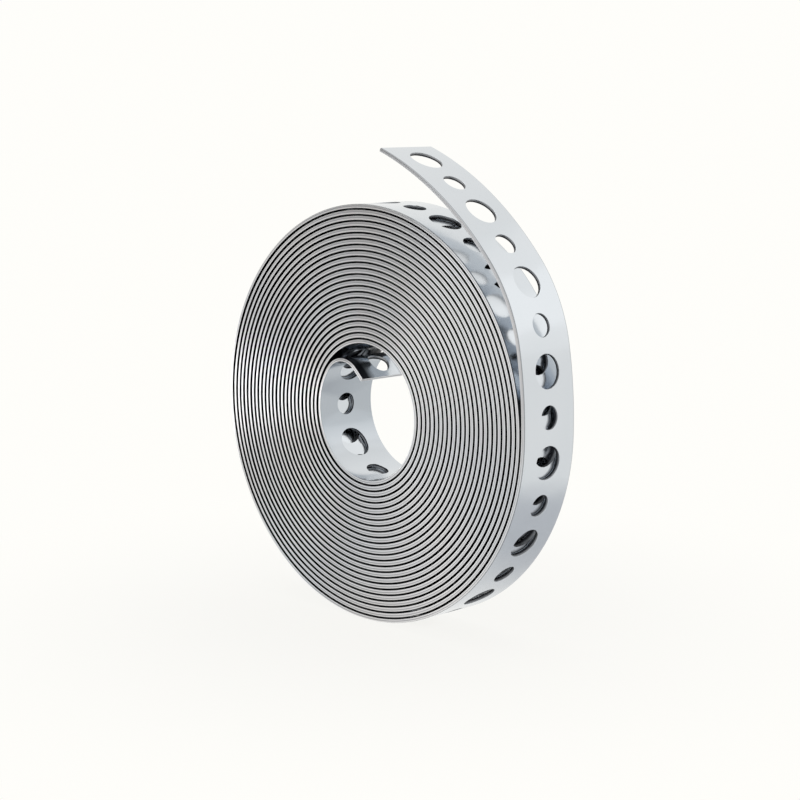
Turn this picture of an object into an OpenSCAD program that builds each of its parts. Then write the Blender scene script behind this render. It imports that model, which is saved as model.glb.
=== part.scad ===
// Coil of punched steel strap: one long flat strap with large and small round holes in turn, wound on itself.
// Its outer end springs off the coil and its inner end is bent into the bore. The coil stands on its rim:
// Y is the coil's axis, the face seen in the photo looks to -Y, Z is up, Z = 0 is the floor. Sizes are in mm,
// angles are seen from the -Y side and run from +X towards +Z.

/* [Strap] */
// Width of the strap
strap_w = 20; // [12:0.5:40]
// Thickness of the strap
strap_t = 1; // [0.5:0.1:2]

/* [Punched holes] */
// Diameter of the large holes
large_hole_d = 9.2; // [6:0.1:14]
// Diameter of the small holes
small_hole_d = 6.4; // [3:0.1:9]
// Distance from each hole to the next, eased a little so that a whole number fits the strap
hole_step = 12; // [10:0.5:24]
// Distance from the cut outer end to the middle of the first large hole
tail_margin = 8.2; // [6:0.1:20]
// Distance from the cut inner end to the middle of the first small hole
hook_margin = 5; // [4:0.1:20]

/* [Wound turns] */
// Bore of the innermost turn
bore_d = 36; // [20:0.2:120]
// Whole turns from the inner end to the outer end
turns = 24; // [6:1:40]
// Clear gap between one turn and the next
turn_gap = 0.62; // [0.2:0.02:1.5]
// How deep the gap between the turns goes in from each end face
gap_depth = 4; // [1:0.5:5]

/* [Loose outer end] */
// Angle below the right-hand side at which the outer end leaves the coil
tail_leave = 1; // [1:0.5:45]
// Outside radius of the outer end where it lifts off the coil
tail_lift_r = 125; // [80:1:180]
// Angle above the right-hand side at which the outer end bends
tail_bend = 10; // [5:0.5:20]
// Outside radius of that bend
tail_bend_r = 46.5; // [35:0.5:60]
// Angle at which the outer end becomes straighter
tail_straighten = 40.5; // [30:0.5:45]
// Outside radius of the straighter last length
tail_tip_r = 98; // [80:1:160]
// Sweep of the straighter last length
tail_tip_sweep = 29.1; // [20:0.1:40]

/* [Bent inner end] */
// Angle at which the inner end leaves the bore wall
hook_leave = 142; // [100:1:170]
// Outside radius of the inner end's bend
hook_bend_r = 7.8; // [4:0.1:12]
// Sweep of the inner end's bend
hook_sweep = 97; // [30:1:150]
// Straight length after the bend
hook_straight = 4; // [2:0.2:12]

/* [Hidden] */
$fn = 144;
pitch = strap_t + turn_gap;
half_t = strap_t / 2;
web_w = strap_w - 2 * gap_depth;
// Where an end leaves the coil, the filling under it stops this many degrees before.
fill_back = 3;
// How much slimmer each next length is on every face, and how many degrees it reaches back.
hair = 0.002;
reach_back = 2;
// A hole in the wound turns stops this far short of the next turn.
skin = 0.02;
deg = 180 / PI;

// The spiral is made of half turns: upper ones about one centre and lower ones about another, half a pitch apart.
function upper_r(k) = bore_d / 2 + pitch * k;
function lower_r(k) = upper_r(k) + pitch / 2;
function polar(r, a) = [r * cos(a), r * sin(a)];
upper_c = [-pitch / 2, 0];
lower_c = [0, 0];
axis_z = lower_r(turns) + strap_t;
lift_c = lower_c + polar(axis_z - tail_lift_r, -tail_leave);
bend_c = lift_c + polar(tail_lift_r - tail_bend_r, tail_bend);
tip_c = bend_c + polar(tail_bend_r - tail_tip_r, tail_straighten);
// Farther than any length of the strap reaches from the centre of its bend.
far = axis_z + tail_lift_r + tail_tip_r;
hook_wall_r = upper_r(0) + strap_t;
hook_c = upper_c + polar(hook_wall_r - hook_bend_r, hook_leave);

// Lengths along the middle of the strap, from the outer end inwards.
tip_len = tail_tip_sweep / deg * (tail_tip_r - half_t);
bend_len = (tail_straighten - tail_bend) / deg * (tail_bend_r - half_t);
lift_len = (tail_bend + tail_leave) / deg * (tail_lift_r - half_t);
tail_len = tip_len + bend_len + lift_len;
last_lower_len = (180 - tail_leave) / deg * (lower_r(turns) + half_t);
last_upper_len = PI * (upper_r(turns) + half_t);
first_upper_len = (180 - hook_leave) / deg * (upper_r(0) + half_t);
hook_bend_len = hook_sweep / deg * (hook_bend_r - half_t);
hook_len = hook_straight + hook_bend_len;
upper_turns_len = PI * turns * ((upper_r(1) + upper_r(turns)) / 2 + half_t);
lower_turns_len = PI * turns * ((lower_r(0) + lower_r(turns - 1)) / 2 + half_t);
strap_len = tail_len + last_lower_len + upper_turns_len + lower_turns_len + first_upper_len + hook_len;

// The holes run large, small, large ... small from the outer end, so the number of steps is odd.
punched_len = strap_len - tail_margin - hook_margin;
steps = 2 * round((punched_len / hole_step - 1) / 2) + 1;
step = punched_len / steps;
function from_outer(i) = tail_margin + i * step;
function from_inner(j) = hook_margin + j * step;
function outer_d(i) = i % 2 == 0 ? large_hole_d : small_hole_d;
function inner_d(j) = j % 2 == 0 ? small_hole_d : large_hole_d;
tail_holes = floor((tail_len - tail_margin) / step) + 1;
lower_rim_holes = floor((tail_len + last_lower_len - tail_margin) / step) + 1;
rim_holes = floor((tail_len + last_lower_len + last_upper_len - tail_margin) / step) + 1;
first_lower_len = PI * (lower_r(0) + half_t);
// The bent inner end hides the last part of the bore wall, so no hole is cut there.
hook_cover = 45;
wall_upper_len = (hook_leave - hook_cover) / deg * (upper_r(1) + half_t);
hook_holes = floor((hook_len - hook_margin) / step) + 1;
inner_upper_holes = floor((hook_len + first_upper_len - hook_margin) / step) + 1;
inner_lower_holes = floor((hook_len + first_upper_len + first_lower_len - hook_margin) / step) + 1;
wall_holes = floor((hook_len + first_upper_len + first_lower_len + wall_upper_len - hook_margin) / step) + 1;

// A length of flat strap bent round the Z axis from +X, outside radius r, each face set in by slim.
module bent_strap(r, sweep, slim)
    rotate_extrude(angle = sweep) translate([r - strap_t + slim, -strap_w / 2 + slim])
        square([strap_t - 2 * slim, strap_w - 2 * slim]);

module upper_half() translate([upper_c[0], upper_c[1], 0]) rotate_extrude(angle = 180) children();
module lower_half() translate([lower_c[0], lower_c[1], 0]) rotate([0, 0, 180]) rotate_extrude(angle = 180) children();

// Frames where one length of the strap runs on into the next: +X is the radius there, and the next length starts on
// the plane Y = 0. It is a hair slimmer and reaches back a little inside the length before, so that they fuse cleanly.
module at_tail() translate([lower_c[0], lower_c[1], 0]) rotate([0, 0, -tail_leave]) children();
module at_bend()
    at_tail() translate([axis_z - tail_lift_r, 0, 0]) rotate([0, 0, tail_leave + tail_bend]) children();
module at_tip()
    at_bend() translate([tail_lift_r - tail_bend_r, 0, 0]) rotate([0, 0, tail_straighten - tail_bend]) children();
module at_hook() translate([upper_c[0], upper_c[1], 0]) rotate([0, 0, hook_leave]) children();
module at_hook_tip()
    at_hook() translate([hook_wall_r - hook_bend_r, 0, 0]) rotate([0, 0, -hook_sweep]) children();

// Everything before or after a joint's plane.
module before() translate([-far, -2 * far, -strap_w]) cube([2 * far, 2 * far, 2 * strap_w]);
module after() translate([-far, 0, -strap_w]) cube([2 * far, 2 * far, 2 * strap_w]);

// The section of one turn, and of the filling between it and the next turn, as wide as the gaps leave it.
module turn_section(r) translate([r, -strap_w / 2]) square([strap_t, strap_w]);
module filling_section(r, n) translate([r + half_t, -web_w / 2]) square([n * pitch, web_w]);

// A half turn's section across n turns.
module turns_section(r, n) {
    for (k = [0 : n - 1]) turn_section(r + k * pitch);
    filling_section(r, n - 1);
}

// A round punch along the radius at angle a, from radius r0 to r1 about centre c.
module punch(c, a, r0, r1, d)
    translate([c[0], c[1], 0]) rotate([0, 0, a]) translate([r0, 0, 0])
        rotate([0, 90, 0]) cylinder(d = d, h = r1 - r0);

module disc(c, r)
    translate([c[0], c[1], -strap_w]) cylinder(r = r, h = 2 * strap_w);

// Holes of the outermost turn, each down to the turn below.
module rim_punches() {
    difference() {
        for (i = [tail_holes : lower_rim_holes - 1]) {
            a = -tail_leave - (from_outer(i) - tail_len) / (lower_r(turns) + half_t) * deg;
            punch(lower_c, a, lower_r(turns - 1), axis_z + 1, outer_d(i));
        }
        disc(lower_c, lower_r(turns) - turn_gap + skin);
    }
    difference() {
        for (i = [lower_rim_holes : rim_holes - 1]) {
            a = 180 - (from_outer(i) - tail_len - last_lower_len) / (upper_r(turns) + half_t) * deg;
            punch(upper_c, a, upper_r(turns - 1), upper_r(turns) + strap_t + turn_gap / 2, outer_d(i));
        }
        disc(upper_c, upper_r(turns) - turn_gap + skin);
    }
}

// Holes of the innermost turn round the bore, each out to the turn behind it.
module bore_punches() {
    intersection() {
        for (j = [hook_holes : inner_upper_holes - 1]) {
            a = hook_leave + (from_inner(j) - hook_len) / (upper_r(0) + half_t) * deg;
            punch(upper_c, a, upper_r(0) - 3, upper_r(2), inner_d(j));
        }
        disc(upper_c, upper_r(1) - skin);
    }
    intersection() {
        for (j = [inner_upper_holes : inner_lower_holes - 1]) {
            a = 180 + (from_inner(j) - hook_len - first_upper_len) / (lower_r(0) + half_t) * deg;
            punch(lower_c, a, lower_r(0) - 3, lower_r(2), inner_d(j));
        }
        disc(lower_c, lower_r(1) - skin);
    }
    intersection() {
        for (j = [inner_lower_holes : wall_holes - 1]) {
            a = (from_inner(j) - hook_len - first_upper_len - first_lower_len) / (upper_r(1) + half_t) * deg;
            punch(upper_c, a, upper_r(1) - 3, upper_r(3), inner_d(j));
        }
        disc(upper_c, upper_r(2) - skin);
    }
}

// A hole through the loose outer end, on its length with outside radius r, l along that length from its angle a.
module tail_punch(c, r, a, l, d)
    punch(c, a - l / (r - half_t) * deg, r - strap_t - turn_gap / 2, r + 2, d);

// Holes right through the loose outer end.
module tail_punches()
    for (i = [0 : tail_holes - 1]) {
        s = from_outer(i);
        if (s < tip_len)
            tail_punch(tip_c, tail_tip_r, tail_straighten + tail_tip_sweep, s, outer_d(i));
        else if (s < tip_len + bend_len)
            tail_punch(bend_c, tail_bend_r, tail_straighten, s - tip_len, outer_d(i));
        else
            tail_punch(lift_c, tail_lift_r, tail_bend, s - tip_len - bend_len, outer_d(i));
    }

// Holes right through the bent inner end.
module hook_punches()
    for (j = [0 : hook_holes - 1])
        punch(hook_c, hook_leave - hook_sweep + (from_inner(j) - hook_straight) / (hook_bend_r - half_t) * deg,
            hook_bend_r - strap_t - 2, hook_bend_r + turn_gap / 2, inner_d(j));

// The wound turns as one turned solid with its bore, the turns standing proud of the gaps at both ends.
// The outermost lower half turn stops where the outer end leaves, the innermost upper one where the inner end does.
module wound_turns() {
    upper_half() turns_section(upper_r(1), turns);
    lower_half() turns_section(lower_r(0), turns);
    intersection() {
        lower_half() turn_section(lower_r(turns));
        at_tail() before();
    }
    intersection() {
        lower_half() filling_section(lower_r(turns - 1), 1);
        at_tail() rotate([0, 0, -fill_back]) before();
    }
    intersection() {
        upper_half() turn_section(upper_r(0));
        at_hook() after();
    }
    intersection() {
        upper_half() filling_section(upper_r(0), 1);
        at_hook() rotate([0, 0, fill_back]) after();
    }
}

// The outer end, standing off the coil: it lifts off, bends, and is straighter from there to its tip.
module loose_end() {
    intersection() {
        at_tail() {
            bent_strap(axis_z, -reach_back, hair);
            translate([axis_z - tail_lift_r, 0, 0])
                bent_strap(tail_lift_r, tail_leave + tail_bend + reach_back, hair);
        }
        at_bend() before();
    }
    intersection() {
        at_bend() {
            bent_strap(tail_lift_r, -reach_back, 2 * hair);
            translate([tail_lift_r - tail_bend_r, 0, 0])
                bent_strap(tail_bend_r, tail_straighten - tail_bend + reach_back, 2 * hair);
        }
        at_tip() before();
    }
    at_tip() {
        bent_strap(tail_bend_r, -reach_back, 3 * hair);
        translate([tail_bend_r - tail_tip_r, 0, 0]) bent_strap(tail_tip_r, tail_tip_sweep, 3 * hair);
    }
}

// The inner end, bent away from the bore wall and straight at its tip.
module bent_end() {
    intersection() {
        at_hook() {
            bent_strap(hook_wall_r, reach_back, hair);
            translate([hook_wall_r - hook_bend_r, 0, 0]) bent_strap(hook_bend_r, -hook_sweep - reach_back, hair);
        }
        at_hook_tip() after();
    }
    at_hook_tip() {
        bent_strap(hook_bend_r, reach_back, 2 * hair);
        translate([hook_bend_r - strap_t + 2 * hair, -hook_straight, -strap_w / 2 + 2 * hair])
            cube([strap_t - 4 * hair, hook_straight, strap_w - 4 * hair]);
    }
}

module strap()
    color([0.72, 0.74, 0.77])
        translate([0, 0, axis_z]) rotate([90, 0, 0]) difference() {
            union() {
                wound_turns();
                loose_end();
                bent_end();
            }
            tail_punches();
            rim_punches();
            bore_punches();
            hook_punches();
        }

strap();
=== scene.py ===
import bisect
import math

import bmesh
import bpy
from mathutils import Matrix, Vector, noise


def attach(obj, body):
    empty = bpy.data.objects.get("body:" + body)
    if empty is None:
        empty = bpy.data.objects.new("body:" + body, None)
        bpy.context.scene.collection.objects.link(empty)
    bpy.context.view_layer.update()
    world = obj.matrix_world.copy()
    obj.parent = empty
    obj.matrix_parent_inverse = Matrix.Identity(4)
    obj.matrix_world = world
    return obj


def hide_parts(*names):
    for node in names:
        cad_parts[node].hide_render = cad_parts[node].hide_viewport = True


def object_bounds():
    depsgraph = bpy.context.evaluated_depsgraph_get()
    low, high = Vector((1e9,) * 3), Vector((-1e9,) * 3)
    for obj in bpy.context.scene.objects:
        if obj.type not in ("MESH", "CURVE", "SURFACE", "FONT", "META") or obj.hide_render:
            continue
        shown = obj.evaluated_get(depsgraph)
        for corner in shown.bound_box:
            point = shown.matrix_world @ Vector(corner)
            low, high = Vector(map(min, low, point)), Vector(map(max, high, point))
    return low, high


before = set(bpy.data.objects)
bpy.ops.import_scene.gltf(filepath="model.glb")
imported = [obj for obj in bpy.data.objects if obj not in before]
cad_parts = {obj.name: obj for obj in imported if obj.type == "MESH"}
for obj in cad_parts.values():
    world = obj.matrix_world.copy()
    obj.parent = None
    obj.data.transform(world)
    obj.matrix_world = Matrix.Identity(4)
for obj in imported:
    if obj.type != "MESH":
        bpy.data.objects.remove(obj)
cad_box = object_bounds()

scene = bpy.context.scene
scene.view_settings.view_transform = "Standard"

# The strap as it leaves the press, flat. It is cold-rolled steel strip, slit to width, with large
# and small round holes punched in turn along its middle, and cropped square at both ends.
MM = 0.001
SIDE_DRIFT = 0.1 * MM
STRAP_WIDTH = cad_box[1][1] - cad_box[0][1] - 2 * SIDE_DRIFT
STRAP_THICKNESS = 1.0 * MM
HALF = STRAP_THICKNESS / 2
LARGE_HOLE = 9.2 * MM
SMALL_HOLE = 6.4 * MM
HOLE_STEP = 12.0 * MM
OUTER_END_MARGIN = 8.2 * MM
INNER_END_MARGIN = 5.0 * MM
EDGE_ROUNDING = 0.40 * MM
BURR_ROUNDING = 0.06 * MM
HOLE_ROUNDING = 0.05 * MM
HOLE_SIDES = 24
SIDES_ALONG = 8
SIDES_ACROSS = 4
WELD = 0.001 * MM

# The way the strap is wound: half turns about two centres, half a pitch apart, make the spiral.
# The outer end springs off at a tangent, bends and gets straighter, and the inner end is bent
# sharply away from the bore wall.
BORE_RADIUS = 18.0 * MM
TURN_PITCH = 1.62 * MM
TURNS = 24
TAIL_LEAVES = math.radians(-1.0)
TAIL_LIFT_RADIUS = 125.0 * MM
TAIL_BENDS = math.radians(10.0)
TAIL_BEND_RADIUS = 46.5 * MM
TAIL_STRAIGHTENS = math.radians(40.5)
TAIL_TIP_RADIUS = 98.0 * MM
TAIL_TIP_SWEEP = math.radians(29.1)
HOOK_LEAVES = math.radians(142.0)
HOOK_BEND_RADIUS = 7.8 * MM
HOOK_SWEEP = math.radians(97.0)
HOOK_STRAIGHT = 4.0 * MM


def upper_radius(turn):
    return BORE_RADIUS + TURN_PITCH * turn


def lower_radius(turn):
    return upper_radius(turn) + TURN_PITCH / 2


def polar(radius, angle):
    return Vector((radius * math.cos(angle), radius * math.sin(angle)))


AXIS_HEIGHT = lower_radius(TURNS) + STRAP_THICKNESS
lower_centre = Vector((0.0, AXIS_HEIGHT))
upper_centre = Vector((-TURN_PITCH / 2, AXIS_HEIGHT))
lift_centre = lower_centre + polar(AXIS_HEIGHT - TAIL_LIFT_RADIUS, TAIL_LEAVES)
bend_centre = lift_centre + polar(TAIL_LIFT_RADIUS - TAIL_BEND_RADIUS, TAIL_BENDS)
tip_centre = bend_centre + polar(TAIL_BEND_RADIUS - TAIL_TIP_RADIUS, TAIL_STRAIGHTENS)
hook_leaves_at = upper_radius(0) + STRAP_THICKNESS
hook_centre = upper_centre + polar(hook_leaves_at - HOOK_BEND_RADIUS, HOOK_LEAVES)

# Each arc holds its centre, middle radius, first angle and sweep. All run clockwise, from the
# outer end inwards.
arcs = [
    (tip_centre, TAIL_TIP_RADIUS - HALF, TAIL_STRAIGHTENS + TAIL_TIP_SWEEP, TAIL_TIP_SWEEP),
    (bend_centre, TAIL_BEND_RADIUS - HALF, TAIL_STRAIGHTENS, TAIL_STRAIGHTENS - TAIL_BENDS),
    (lift_centre, TAIL_LIFT_RADIUS - HALF, TAIL_BENDS, TAIL_BENDS - TAIL_LEAVES),
    (lower_centre, lower_radius(TURNS) + HALF, TAIL_LEAVES, math.pi + TAIL_LEAVES),
]
first_coil_arc = len(arcs) - 1
for turn in range(TURNS, 0, -1):
    arcs.append((upper_centre, upper_radius(turn) + HALF, math.pi, math.pi))
    arcs.append((lower_centre, lower_radius(turn - 1) + HALF, 0.0, math.pi))
arcs.append((upper_centre, upper_radius(0) + HALF, math.pi, math.pi - HOOK_LEAVES))
arcs.append((hook_centre, HOOK_BEND_RADIUS - HALF, HOOK_LEAVES, HOOK_SWEEP))

arc_starts = [0.0]
for centre, radius, first_angle, sweep in arcs:
    arc_starts.append(arc_starts[-1] + radius * sweep)
strap_length = arc_starts[-1] + HOOK_STRAIGHT
coil_starts = arc_starts[first_coil_arc]
hook_end_angle = HOOK_LEAVES - HOOK_SWEEP

punched_length = strap_length - OUTER_END_MARGIN - INNER_END_MARGIN
hole_pairs = round((punched_length / HOLE_STEP + 1) / 2)
hole_step = punched_length / (2 * hole_pairs - 1)


def punched_cell(middle, hole):
    """One hole's length of flat strap, round its hole."""
    place = Matrix.Translation((middle, 0, 0))
    cell = place @ Matrix.Diagonal((hole_step / 2, STRAP_WIDTH / 2, 1, 1))
    made = bmesh.ops.create_grid(strip, x_segments=1, y_segments=1, size=1, matrix=cell)
    bmesh.ops.delete(strip, geom=list(made["verts"][0].link_faces), context="FACES_ONLY")
    border = [edge for edge in strip.edges if edge.is_wire]
    long_sides = [edge for edge in border if abs(edge.verts[0].co.y - edge.verts[1].co.y) < HALF]
    short_sides = [edge for edge in border if edge not in long_sides]
    bmesh.ops.subdivide_edges(strip, edges=long_sides, cuts=SIDES_ALONG - 1)
    bmesh.ops.subdivide_edges(strip, edges=short_sides, cuts=SIDES_ACROSS - 1)
    bmesh.ops.create_circle(strip, segments=HOLE_SIDES, radius=hole / 2, matrix=place)
    bmesh.ops.bridge_loops(strip, edges=[edge for edge in strip.edges if edge.is_wire])


strip = bmesh.new()
punched_cell(OUTER_END_MARGIN, LARGE_HOLE)
punched_cell(OUTER_END_MARGIN + hole_step, SMALL_HOLE)
bmesh.ops.remove_doubles(strip, verts=strip.verts, dist=WELD)
bmesh.ops.spin(
    strip,
    geom=strip.verts[:] + strip.edges[:] + strip.faces[:],
    cent=(0, 0, 0),
    axis=(0, 0, 1),
    dvec=(2 * hole_step, 0, 0),
    angle=0,
    steps=hole_pairs - 1,
    use_duplicate=True,
)
bmesh.ops.remove_doubles(strip, verts=strip.verts, dist=WELD)


def shift(geometry, way):
    """Move the points of what an operator has just made."""
    points = [part for part in geometry if isinstance(part, bmesh.types.BMVert)]
    bmesh.ops.translate(strip, verts=points, vec=way)


# The outer end is plain up to its first hole, and the inner end is cropped close to its last one.
first_edge = OUTER_END_MARGIN - hole_step / 2
end_edges = [edge for edge in strip.edges if all(v.co.x < first_edge + WELD for v in edge.verts)]
plain_end = bmesh.ops.extrude_edge_only(strip, edges=end_edges)["geom"]
shift(plain_end, (-first_edge, 0, 0))
bmesh.ops.bisect_plane(
    strip,
    geom=strip.verts[:] + strip.edges[:] + strip.faces[:],
    plane_co=(strap_length, 0, 0),
    plane_no=(1, 0, 0),
    clear_outer=True,
)

# The gauge of the strip, then its slit edges: the slitting rolls round them over on the side that
# ends up outside, and leave them nearly sharp on the other side.
shift(strip.verts, (0, 0, -HALF))
raised = bmesh.ops.extrude_face_region(strip, geom=strip.faces[:])["geom"]
shift(raised, (0, 0, STRAP_THICKNESS))
bmesh.ops.recalc_face_normals(strip, faces=strip.faces)


def on_corner(vert, side):
    at_edge = abs(abs(vert.co.y) - STRAP_WIDTH / 2) < WELD
    return at_edge and abs(vert.co.z - side * HALF) < WELD


def slit_corners(side):
    """The long corner edges of the strip on its outer (1) or inner (-1) side."""
    corners = []
    for edge in strip.edges:
        first, last = edge.verts
        if on_corner(first, side) and on_corner(last, side) and abs(first.co.y - last.co.y) < HALF:
            corners.append(edge)
    return corners


def round_off(edges, rounding, segments):
    bmesh.ops.bevel(
        strip,
        geom=edges,
        offset=rounding,
        segments=segments,
        profile=0.5,
        affect="EDGES",
        material=-1,
    )


round_off(slit_corners(1), EDGE_ROUNDING, 2)
round_off(slit_corners(-1), BURR_ROUNDING, 1)

# The punch leaves a small round on the rim of each hole. Only the holes of the layers that show
# have it here.
RIM_TURN = 1.0
outer_layer_ends = coil_starts + 2 * math.pi * (AXIS_HEIGHT - TURN_PITCH / 2 - HALF)
hook_length = HOOK_STRAIGHT + HOOK_SWEEP * HOOK_BEND_RADIUS
inner_layer_starts = strap_length - hook_length - 2 * math.pi * BORE_RADIUS
first_rim = HOLE_STEP / 4
last_rim = strap_length - HOLE_STEP / 8
hole_rims = []
for edge in strip.edges:
    length, across, lift = (edge.verts[0].co + edge.verts[1].co) / 2
    shows = length < outer_layer_ends or length > inner_layer_starts
    inside = abs(across) < LARGE_HOLE / 2 + HALF and first_rim < length < last_rim
    turned = len(edge.link_faces) == 2 and edge.calc_face_angle() > RIM_TURN
    flat = abs(edge.verts[0].co.z - edge.verts[1].co.z) < HALF
    if shows and inside and turned and flat:
        hole_rims.append(edge)
round_off(hole_rims, HOLE_ROUNDING, 1)

# Each point keeps its place on the flat strap as a UV map, which runs on over the edges, and its
# height in the thickness. Each face keeps what made it, the rolls, the slitter or the punch,
# whether the next turn covers it or it lines the bore, and how much painted shade its rounded
# corner carries.
FACE, SLIT_EDGE, PUNCHED_WALL = 0, 1, 2
UPRIGHT = 0.3
FACES_SIDEWAYS = 0.8
FACES_ENDWAYS = 0.9
CORNER_PAINTED_SHADE = 0.5
along_strap = strip.loops.layers.uv.new("along_strap")
through = strip.verts.layers.float.new("through")
between_turns = strip.faces.layers.float.new("between_turns")
in_bore = strip.faces.layers.float.new("in_bore")
painted_corner_shade = strip.faces.layers.float.new("painted_corner_shade")
for face in strip.faces:
    face.smooth = True
    length, across, lift = face.calc_center_median()
    at_side = abs(across) > STRAP_WIDTH / 2 - EDGE_ROUNDING
    at_end = not HALF < length < strap_length - HALF
    upright = abs(face.normal.z) < UPRIGHT
    cropped = upright and at_end and abs(face.normal.x) > FACES_ENDWAYS
    if (at_side and abs(face.normal.y) > FACES_SIDEWAYS) or cropped:
        face.material_index = SLIT_EDGE
    elif upright:
        face.material_index = PUNCHED_WALL
    elif lift > 0:
        face[between_turns] = float(length > outer_layer_ends)
    else:
        face[between_turns] = float(coil_starts < length < inner_layer_starts)
        face[in_bore] = float(length > inner_layer_starts)
    # Painted shade: the faces on the rounded corners of the slit edges are darkened.
    if at_side and face.material_index == FACE:
        face[painted_corner_shade] = CORNER_PAINTED_SHADE
    for loop in face.loops:
        place = loop.vert.co
        stretch = 1 + (HALF - place.z) / (STRAP_WIDTH / 2)
        loop[along_strap].uv = (place.x, place.y * stretch)
for vert in strip.verts:
    vert[through] = vert.co.z / HALF


def wound(length, lift):
    """The place in the front view of a point at a length along the strap, lifted off its middle."""
    index = min(bisect.bisect_right(arc_starts, max(length, 0.0)) - 1, len(arcs))
    if index == len(arcs):
        start = hook_centre + polar(HOOK_BEND_RADIUS - HALF + lift, hook_end_angle)
        return start - polar(length - arc_starts[-1], hook_end_angle + math.pi / 2)
    centre, radius, first_angle, sweep = arcs[index]
    return centre + polar(radius + lift, first_angle - (length - arc_starts[index]) / radius)


# Winding by hand leaves the turns a little uneven, side to side and inwards. At the top and the
# bottom of the coil the edges of neighbouring turns lie closer together. Along their middle the
# turns bear on one another: they swell outwards in the outer half of the coil, then inwards.
GAP_DRIFT = 0.05 * MM
EDGE_CLOSING = 0.13 * MM
CLOSING_POWER = 4
MIDDLE_RISE = 0.5 * MM
MIDDLE_REACH = STRAP_WIDTH / 3
SIDE_WAVES = 14
GAP_WAVES = 22
GAP_ROW = 5.0
middle_arc = len(arcs) // 2
outer_sides_end = arc_starts[middle_arc + 2]
inner_sides_start = arc_starts[middle_arc]
for vert in strip.verts:
    length, across, lift = vert.co
    drift = noise.noise(Vector((length * SIDE_WAVES, 0.0, 0.0)))
    ease = noise.noise(Vector((length * GAP_WAVES, GAP_ROW, 0.0))) - 1.0
    side = wound(length, lift + GAP_DRIFT / 2 * ease)
    if lift > 0:
        covered = outer_layer_ends < length < strap_length
        bears = length < outer_sides_end
    else:
        covered = coil_starts < length < inner_layer_starts
        bears = length > inner_sides_start
    if covered:
        from_axis = side - lower_centre
        closing = EDGE_CLOSING * (from_axis.y / from_axis.length) ** CLOSING_POWER
        if abs(across) < MIDDLE_REACH:
            closing = MIDDLE_RISE if bears else 0.0
        side = wound(length, lift + math.copysign(closing, lift) + GAP_DRIFT / 2 * ease)
    vert.co = (side.x, across + SIDE_DRIFT * drift, side.y)

SHARP_ANGLE = math.radians(38)
FLAT_WEIGHT = 80
strap_mesh = bpy.data.meshes.new("strap_wound")
strip.to_mesh(strap_mesh)
strip.free()
strap_mesh.set_sharp_from_angle(angle=SHARP_ANGLE)
strap = bpy.data.objects.new("strap_wound", strap_mesh)
scene.collection.objects.link(strap)
flat_faces_lead = strap.modifiers.new("flat_faces_lead", "WEIGHTED_NORMAL")
flat_faces_lead.keep_sharp = True
flat_faces_lead.weight = FLAT_WEIGHT


def feed(source, target):
    """Link an output to a socket, or set the socket to a plain value."""
    if isinstance(source, bpy.types.NodeSocket):
        tree.links.new(source, target)
    else:
        target.default_value = source


def add_node(kind, inputs=None, **values):
    made = tree.nodes.new(kind)
    for name, value in values.items():
        setattr(made, name, value)
    for name, value in (inputs or {}).items():
        feed(value, made.inputs[name])
    return made


def worked_out(operation, first, second=0.0):
    """A Math node's result."""
    return add_node("ShaderNodeMath", {0: first, 1: second}, operation=operation).outputs["Value"]


def ranged(source, low, high, first=0.0, last=1.0, kind="LINEAR"):
    """A value that goes from first to last while the source goes from low to high."""
    inputs = {"Value": source, "From Min": low, "From Max": high, "To Min": first, "To Max": last}
    return add_node("ShaderNodeMapRange", inputs, interpolation_type=kind).outputs["Result"]


def blended(share, first, second):
    """A value between two others."""
    inputs = {"Factor": share, "A": first, "B": second}
    return add_node("ShaderNodeMix", inputs).outputs["Result"]


def tinted(share, first, second, blend="MIX"):
    """A colour between two others, or one stained by the other."""
    inputs = {"Factor": share, "A": first, "B": second}
    return add_node("ShaderNodeMix", inputs, data_type="RGBA", blend_type=blend).outputs["Result"]


def layer(name):
    """What each point or face of the strap keeps under a name."""
    return add_node("ShaderNodeAttribute", attribute_name=name).outputs["Fac"]


def along(vector, axis):
    return add_node("ShaderNodeSeparateXYZ", {"Vector": vector}).outputs[axis]


def new_group(name, inputs, output, output_kind):
    """An effect for more than one finish, with named inputs and one output."""
    made = bpy.data.node_groups.new(name, "ShaderNodeTree")
    for socket, kind in inputs.items():
        made.interface.new_socket(socket, in_out="INPUT", socket_type=kind)
    made.interface.new_socket(output, in_out="OUTPUT", socket_type=output_kind)
    return made


def new_metal(name):
    made = bpy.data.materials.new(name)
    made.use_nodes = True
    made.node_tree.nodes["Principled BSDF"].inputs["Metallic"].default_value = 1.0
    strap_mesh.materials.append(made)
    return made


# What rolls leave on steel: fine lines along the strap, on its faces and on its slit edges.
LINES_INPUTS = {"Scale": "NodeSocketVector", "Detail": "NodeSocketFloat"}
strap_lines = new_group("strap_lines", LINES_INPUTS, "Lines", "NodeSocketFloat")
tree = strap_lines
given = add_node("NodeGroupInput").outputs
flat_place = add_node("ShaderNodeUVMap", uv_map="along_strap").outputs["UV"]
drawn_out = add_node("ShaderNodeMapping", {"Vector": flat_place, "Scale": given["Scale"]})
lines_values = {"Vector": drawn_out.outputs["Vector"], "Scale": 1.0, "Detail": given["Detail"]}
fine_lines = add_node("ShaderNodeTexNoise", lines_values)
add_node("NodeGroupOutput", {"Lines": fine_lines.outputs["Fac"]})

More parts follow.
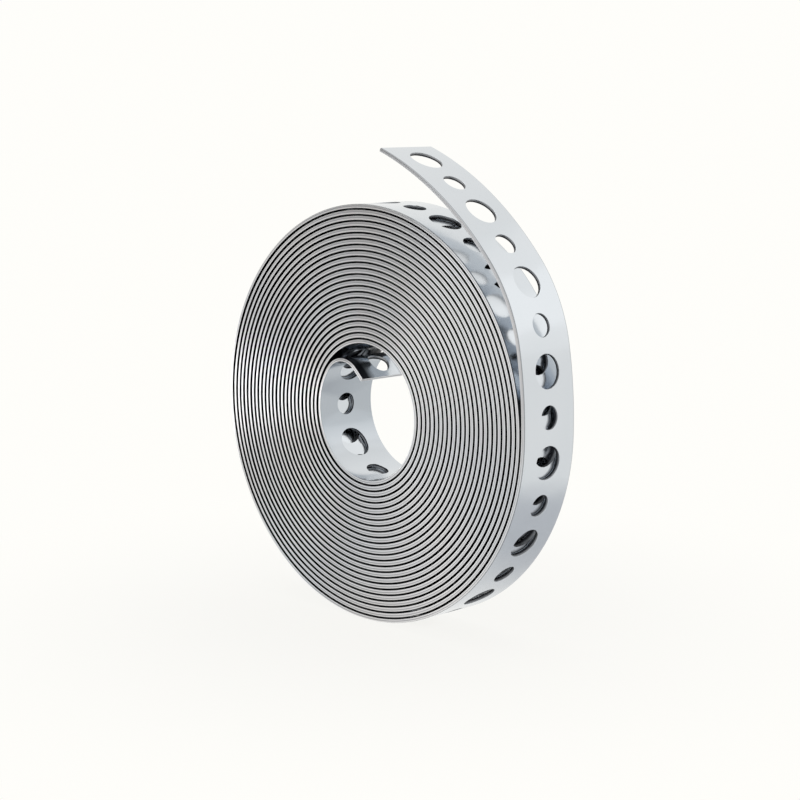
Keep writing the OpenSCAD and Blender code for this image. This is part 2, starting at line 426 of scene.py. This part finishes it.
# How a metal's colour varies: soft clouds between two near tints, on the zinc and on bare steel.
TINT_INPUTS = {
    "Scale": "NodeSocketFloat",
    "Low": "NodeSocketFloat",
    "High": "NodeSocketFloat",
    "First": "NodeSocketColor",
    "Second": "NodeSocketColor",
}
CLOUD_DETAIL = 2.0
cloudy_tint = new_group("cloudy_tint", TINT_INPUTS, "Tint", "NodeSocketColor")
tree = cloudy_tint
given = add_node("NodeGroupInput").outputs
solid_place = add_node("ShaderNodeTexCoord").outputs["Object"]
cloud_values = {"Vector": solid_place, "Scale": given["Scale"], "Detail": CLOUD_DETAIL}
cloud = add_node("ShaderNodeTexNoise", cloud_values).outputs["Fac"]
cloud_share = ranged(cloud, given["Low"], given["High"])
add_node("NodeGroupOutput", {"Tint": tinted(cloud_share, given["First"], given["Second"])})

# Bright zinc on rolled steel: a satin sheen with faint lines along the strap. Between the turns
# the faces carry painted shade, darkest just inside the edges, and are rougher there; the rounded
# corners of the slit edges carry painted shade too. The bore wall carries a lighter painted shade
# that fades out towards its foot.
ZINC_TINT = {
    "Scale": 45.0,
    "Low": 0.3,
    "High": 0.7,
    "First": (0.645, 0.682, 0.725, 1.0),
    "Second": (0.668, 0.700, 0.742, 1.0),
}
BORE_SHADE_COLOUR = (0.67, 0.69, 0.71, 1.0)
BORE_SHADE_ENDS = AXIS_HEIGHT - 0.95 * BORE_RADIUS
BORE_SHADE_STARTS = AXIS_HEIGHT - 0.3 * BORE_RADIUS
PAINTED_SHADE_COLOUR = (0.02, 0.02, 0.024, 1.0)
GAP_SHADE_STARTS = 4.5 * MM
GAP_SHADE_DEEP = 7.5 * MM
GAP_ROUGHNESS = 0.4
ROLLED_LINES = {"Scale": (18.0, 2600.0, 1.0), "Detail": 4.0}
ZINC_ROUGHNESS = (0.13, 0.21)
LINE_RELIEF = {"Strength": 0.05, "Distance": 0.02 * MM}
tree = new_metal("strap_zinc_face").node_tree
shader = tree.nodes["Principled BSDF"]
zinc = add_node("ShaderNodeGroup", ZINC_TINT, node_tree=cloudy_tint).outputs["Tint"]
height = along(add_node("ShaderNodeTexCoord").outputs["Object"], "Z")
# Painted shade on the bore wall: darker above, fading out towards its foot.
bore_shade = worked_out("MULTIPLY", layer("in_bore"), ranged(height, BORE_SHADE_ENDS, BORE_SHADE_STARTS))
bore_shaded_zinc = tinted(bore_shade, zinc, BORE_SHADE_COLOUR, "MULTIPLY")
across_strap = along(add_node("ShaderNodeUVMap", uv_map="along_strap").outputs["UV"], "Y")
# Painted shade between the turns, darkest just inside the edges, where the faces are also rougher;
# the rounded corners get painted shade as well.
gap_shade_depth = ranged(worked_out("ABSOLUTE", across_strap), GAP_SHADE_STARTS, GAP_SHADE_DEEP)
gap_shade_mask = worked_out("MULTIPLY", layer("between_turns"), gap_shade_depth)
painted_shade = worked_out("MAXIMUM", gap_shade_mask, layer("painted_corner_shade"))
feed(tinted(painted_shade, bore_shaded_zinc, PAINTED_SHADE_COLOUR, "MULTIPLY"), shader.inputs["Base Color"])
rolled = add_node("ShaderNodeGroup", ROLLED_LINES, node_tree=strap_lines).outputs["Lines"]
satin = ranged(rolled, 0.0, 1.0, *ZINC_ROUGHNESS)
feed(blended(gap_shade_mask, satin, GAP_ROUGHNESS), shader.inputs["Roughness"])
relief = add_node("ShaderNodeBump", {"Height": rolled, **LINE_RELIEF}).outputs["Normal"]
feed(relief, shader.inputs["Normal"])

# The slit edges: bare steel, drawn out along the strap by the slitting rolls, with a torn grey
# line where the shear let go, and a breath of warm tarnish here and there. On the loose end they
# are evenly darker instead, a painted shade.
EDGE_TINT = {
    "Scale": 30.0,
    "Low": 0.35,
    "High": 0.65,
    "First": (0.70, 0.72, 0.755, 1.0),
    "Second": (0.735, 0.73, 0.74, 1.0),
}
SHEAR_LINE_AND_SHADE = (0.52, 0.52, 0.53, 1.0)
SHEAR_HEIGHT = -0.08
SHEAR_CORE = 0.06
SHEAR_REACH = 0.32
LOOSE_END_SHADE = 0.6
LOOSE_END_SHADE_FADES = 10 * MM
DRAWN_LINES = {"Scale": (40.0, 9000.0, 1.0), "Detail": 2.0}
EDGE_ROUGHNESS = (0.38, 0.46)
tree = new_metal("strap_slit_edge").node_tree
shader = tree.nodes["Principled BSDF"]
shader.inputs["Anisotropic"].default_value = 0.9
shader.inputs["Anisotropic Rotation"].default_value = 0.25
bare_steel = add_node("ShaderNodeGroup", EDGE_TINT, node_tree=cloudy_tint).outputs["Tint"]
from_shear = worked_out("ABSOLUTE", worked_out("SUBTRACT", layer("through"), SHEAR_HEIGHT))
shear_line = ranged(from_shear, SHEAR_CORE, SHEAR_REACH, 1.0, 0.0)
length_along = along(add_node("ShaderNodeUVMap", uv_map="along_strap").outputs["UV"], "X")
# Painted shade on the loose end: its slit edges are evenly darkened in place of the shear line.
on_coil = ranged(length_along, coil_starts - LOOSE_END_SHADE_FADES, coil_starts + LOOSE_END_SHADE_FADES)
shear_line_and_shade = blended(on_coil, LOOSE_END_SHADE, shear_line)
feed(tinted(shear_line_and_shade, bare_steel, SHEAR_LINE_AND_SHADE, "MULTIPLY"), shader.inputs["Base Color"])
drawn = add_node("ShaderNodeGroup", DRAWN_LINES, node_tree=strap_lines).outputs["Lines"]
feed(ranged(drawn, 0.0, 1.0, *EDGE_ROUGHNESS), shader.inputs["Roughness"])
drawn_way = add_node("ShaderNodeTangent", direction_type="UV_MAP", uv_map="along_strap")
feed(drawn_way.outputs["Tangent"], shader.inputs["Tangent"])

# The walls of the punched holes: burnished where the punch went in, and dark below, where the
# steel tore.
TORN_STEEL = (0.035, 0.035, 0.04, 1.0)
BURNISHED_STEEL = (0.42, 0.43, 0.45, 1.0)
TORN_BELOW = -0.4
BURNISHED_ABOVE = 0.4
tree = new_metal("strap_punched_wall").node_tree
shader = tree.nodes["Principled BSDF"]
shader.inputs["Roughness"].default_value = 0.5
burnish = ranged(layer("through"), TORN_BELOW, BURNISHED_ABOVE)
feed(tinted(burnish, TORN_STEEL, BURNISHED_STEEL), shader.inputs["Base Color"])

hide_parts("strap")
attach(strap, "root")

# The floor under the coil: a wide pale sheet that runs to the horizon. It looks white, apart from
# the coil's faint shadow, and the metal mirrors it as white too, apart from a patch behind the rim
# that it mirrors as it is lit.
FLOOR_SIZE = 6.0
FLOOR_GAP = 0.2 * MM
FLOOR_COLOUR = (0.9, 0.9, 0.895, 1.0)
STUDIO_WHITE = (0.995, 0.988, 0.957, 1.0)
SHADOW_NEAR = 0.03
SHADOW_FAR = 0.16
SHADOW_SHARE = 0.87
PATCH_PLACE = (0.066, 0.044, 0.0)
PATCH_NEAR = 0.015
PATCH_FAR = 0.065
floor_build = bmesh.new()
bmesh.ops.create_grid(floor_build, x_segments=1, y_segments=1, size=FLOOR_SIZE / 2)
floor_height = cad_box[0][2] - FLOOR_GAP
bmesh.ops.translate(floor_build, verts=floor_build.verts, vec=(0, 0, floor_height))
floor_mesh = bpy.data.meshes.new("floor")
floor_build.to_mesh(floor_mesh)
floor_build.free()
floor = bpy.data.objects.new("floor", floor_mesh)
scene.collection.objects.link(floor)
floor_paint = bpy.data.materials.new("floor_white")
floor_paint.use_nodes = True
floor_mesh.materials.append(floor_paint)
tree = floor_paint.node_tree
shader = tree.nodes["Principled BSDF"]
shader.inputs["Base Color"].default_value = FLOOR_COLOUR
shader.inputs["Roughness"].default_value = 0.9


def white_share(view_share, mirror_share):
    """How white the rays from the camera and from shiny or clear things find a surface."""
    seen_by = add_node("ShaderNodeLightPath").outputs
    mirrored = worked_out("MAXIMUM", seen_by["Is Glossy Ray"], seen_by["Is Transmission Ray"])
    in_view = worked_out("MULTIPLY", seen_by["Is Camera Ray"], view_share)
    return worked_out("MAXIMUM", in_view, worked_out("MULTIPLY", mirrored, mirror_share))


floor_place = add_node("ShaderNodeTexCoord").outputs["Object"]
from_coil = add_node("ShaderNodeVectorMath", {0: floor_place}, operation="LENGTH")
from_coil = from_coil.outputs["Value"]
from_patch = add_node("ShaderNodeVectorMath", {0: floor_place, 1: PATCH_PLACE}, operation="DISTANCE")
from_patch = from_patch.outputs["Value"]
out_of_shadow = ranged(from_coil, SHADOW_NEAR, SHADOW_FAR, SHADOW_SHARE, 1.0, "SMOOTHSTEP")
off_patch = ranged(from_patch, PATCH_NEAR, PATCH_FAR, kind="SMOOTHSTEP")
glow = add_node("ShaderNodeEmission", {"Color": STUDIO_WHITE}).outputs["Emission"]
floor_mix = {"Fac": white_share(out_of_shadow, off_patch), 1: shader.outputs["BSDF"], 2: glow}
floor_shown = add_node("ShaderNodeMixShader", floor_mix).outputs["Shader"]
feed(floor_shown, tree.nodes["Material Output"].inputs["Surface"])

# The studio: a pale room that is white where the camera or the metal looks at it, and five soft
# lamps. Two small ones stand low at the left and in front, two behind, and a large one hangs above.
ROOM_COLOUR = (0.62, 0.63, 0.65, 1.0)
room = bpy.data.worlds.new("pale_room")
scene.world = room
room.use_nodes = True
tree = room.node_tree
pale_glow = tree.nodes["Background"]
pale_glow.inputs["Color"].default_value = ROOM_COLOUR
white_glow = add_node("ShaderNodeBackground", {"Color": STUDIO_WHITE}).outputs["Background"]
room_mix = {"Fac": white_share(1.0, 1.0), 1: pale_glow.outputs["Background"], 2: white_glow}
room_shown = add_node("ShaderNodeMixShader", room_mix).outputs["Shader"]
feed(room_shown, tree.nodes["World Output"].inputs["Surface"])

coil_middle = Vector((0.0, 0.0, AXIS_HEIGHT))


def soft_lamp(name, place, size, watts):
    """A lamp that faces the middle of the coil, placed from there."""
    light = bpy.data.lights.new(name, "AREA")
    light.shape = "RECTANGLE"
    light.size, light.size_y = size
    light.energy = watts
    lamp = bpy.data.objects.new(name, light)
    lamp.location = coil_middle + Vector(place)
    lamp.rotation_euler = (-Vector(place)).to_track_quat("-Z", "Y").to_euler()
    lamp.visible_camera = False
    scene.collection.objects.link(lamp)


soft_lamp("left_lamp", place=(-0.25, -0.05, -0.03), size=(0.16, 0.05), watts=0.13)
soft_lamp("front_lamp", place=(-0.14, -0.28, 0.0), size=(0.14, 0.09), watts=0.03)
soft_lamp("back_lamp", place=(0.44, 0.6, 0.38), size=(0.5, 0.34), watts=0.06)
soft_lamp("back_glow", place=(0.6, 0.9, 0.55), size=(1.1, 0.9), watts=0.28)
soft_lamp("top_lamp", place=(0.0, 0.0, 1.0), size=(0.8, 0.8), watts=1.6)

# A dark felt card up on the left, out of view, as a studio hangs one to draw the edges of bright
# metal. It faces the coil, and is a little wider than high.
CARD_SIZE = 0.5
CARD_HEIGHT_SHARE = 0.75
CARD_PLACE = Vector((-0.70, -0.50, 0.62))
CARD_COLOUR = (0.02, 0.02, 0.02, 1.0)
card_build = bmesh.new()
card_shape = Matrix.Diagonal((1.0, CARD_HEIGHT_SHARE, 1.0, 1.0))
bmesh.ops.create_grid(card_build, x_segments=1, y_segments=1, size=CARD_SIZE, matrix=card_shape)
card_turn = (coil_middle - CARD_PLACE).to_track_quat("Z", "Y").to_matrix().to_4x4()
card_hangs = Matrix.Translation(CARD_PLACE) @ card_turn
bmesh.ops.transform(card_build, matrix=card_hangs, verts=card_build.verts)
card_mesh = bpy.data.meshes.new("dark_card")
card_build.to_mesh(card_mesh)
card_build.free()
card = bpy.data.objects.new("dark_card", card_mesh)
scene.collection.objects.link(card)
card.visible_camera = False
card_felt = bpy.data.materials.new("card_felt")
card_felt.use_nodes = True
card_shader = card_felt.node_tree.nodes["Principled BSDF"]
card_shader.inputs["Base Color"].default_value = CARD_COLOUR
card_shader.inputs["Roughness"].default_value = 1.0
card_mesh.materials.append(card_felt)

# The camera stands where the photograph was taken: to the right of the front face and a little
# above the coil. It aims a little right of the middle of that face and above it.
CAMERA_AZIMUTH = math.radians(45.492)
CAMERA_ELEVATION = math.radians(9.087)
CAMERA_DISTANCE = 525.1 * MM
AIM_RIGHT = 9.82 * MM
AIM_UP = 3.80 * MM
LENS = 85.29
SENSOR = 36.0
CLIP_START = 0.01
to_camera = Vector(
    (
        math.sin(CAMERA_AZIMUTH) * math.cos(CAMERA_ELEVATION),
        -math.cos(CAMERA_AZIMUTH) * math.cos(CAMERA_ELEVATION),
        math.sin(CAMERA_ELEVATION),
    )
)
right = Vector((math.cos(CAMERA_AZIMUTH), math.sin(CAMERA_AZIMUTH), 0.0))
up = to_camera.cross(right)
face_centre = Vector((upper_centre.x / 2, cad_box[0][1], AXIS_HEIGHT))
camera_place = face_centre + right * AIM_RIGHT + up * AIM_UP + to_camera * CAMERA_DISTANCE
camera_turn = Matrix((right, up, to_camera)).transposed().to_4x4()
view = bpy.data.cameras.new("photo_view")
view.lens = LENS
view.sensor_width = SENSOR
view.clip_start = CLIP_START
camera = bpy.data.objects.new("photo_view", view)
camera.matrix_world = Matrix.Translation(camera_place) @ camera_turn
scene.collection.objects.link(camera)
scene.camera = camera
